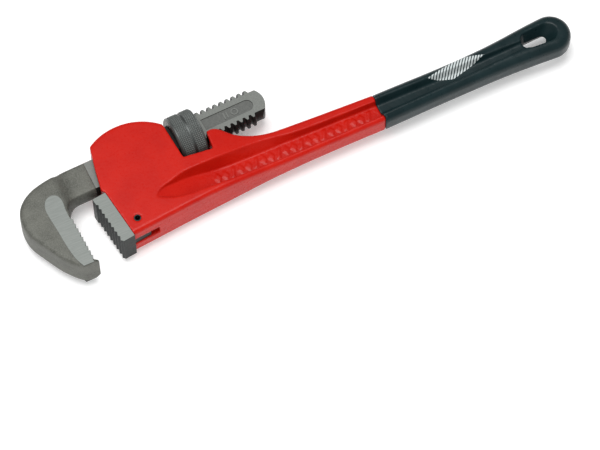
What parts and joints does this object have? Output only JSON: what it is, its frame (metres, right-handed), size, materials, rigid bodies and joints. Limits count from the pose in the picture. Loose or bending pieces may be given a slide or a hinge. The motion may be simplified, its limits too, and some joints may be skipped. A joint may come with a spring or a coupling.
{
  "type": "pipe wrench",
  "caption": "Adjustable straight pipe wrench: hook jaw on a toothed shank, knurled adjusting nut, toothed heel jaw and an I-section handle with a dipped grip and hanging hole.",
  "frame": {"origin": "bottom centre of the whole wrench's box, with the wrench lying flat on its side", "axes": "+X along the handle from the jaws towards the grip, -Y towards the open mouth of the jaws, +Z square to the broad face"},
  "size_m": [0.4437, 0.098, 0.0384],
  "materials": {
    "red_paint": "gloss",
    "vinyl": "satin",
    "forged_steel": "satin",
    "nut_steel": "satin",
    "ground_steel": "satin",
    "spring_steel": "satin"
  },
  "bodies": {
    "handle": {"handle": "red_paint", "handle_grip": "vinyl", "heel_jaw": "ground_steel", "heel_jaw_pin": "spring_steel"},
    "spring_set": {"flat_spring": "spring_steel", "coil_spring": "spring_steel", "spring_rivet": "spring_steel"},
    "hook_jaw": {"hook_jaw": "forged_steel"},
    "adjusting_nut": {"adjusting_nut": "nut_steel"}
  },
  "joints": [
    {"name": "jaw_rock", "type": "hinge", "parent": "handle", "child": "spring_set", "pos_m": [-0.08033, 0.02458, 0.0192], "axis": [0, 0, 1], "range_deg": [-1, 1], "stiffness_Nm_per_rad": 12, "deforming": ["coil_spring"]},
    {"name": "jaw_slide", "type": "slide", "parent": "spring_set", "child": "hook_jaw", "axis": [0.9993, 0.0384, 0], "range_m": [-0.045, 0.015]},
    {"name": "nut_spin", "type": "hinge", "parent": "spring_set", "child": "adjusting_nut", "pos_m": [-0.08033, 0.02458, 0.0192], "axis": [0.9993, 0.0384, 0], "range_deg": [-1080, 3200]}
  ],
  "couplings": [
    {"joint": "nut_spin", "follows": "jaw_slide", "rad_per_m": -1236.8}
  ]
}
